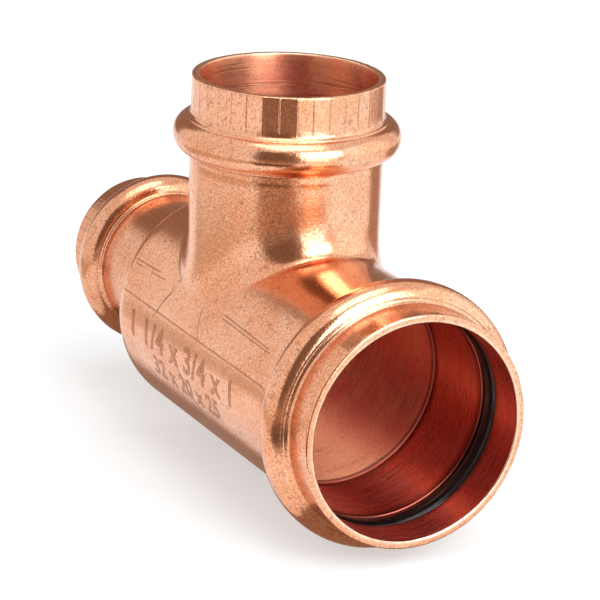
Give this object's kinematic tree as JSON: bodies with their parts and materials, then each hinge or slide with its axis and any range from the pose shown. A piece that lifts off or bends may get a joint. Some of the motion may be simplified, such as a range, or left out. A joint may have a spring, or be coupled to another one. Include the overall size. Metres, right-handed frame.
{
  "type": "tee fitting",
  "caption": "Reducing tee for pressed copper pipe: a formed copper body whose run steps down at one end, with beaded sockets that hold rubber sealing rings.",
  "frame": {"origin": "on the run's axis, at the stop of the large run socket, where the end of the large pipe rests", "axes": "+X along the run, out of the large socket's mouth; +Z the way the branch points"},
  "size_m": [0.1056, 0.0436, 0.0669],
  "materials": {
    "copper": null,
    "seal_rubber": "smooth black rubber with a thin film of grease"
  },
  "bodies": {
    "root": {"tee_body": "copper", "large_run_seal": "seal_rubber", "small_run_seal": "seal_rubber", "branch_seal": "seal_rubber"}
  },
  "joints": []
}
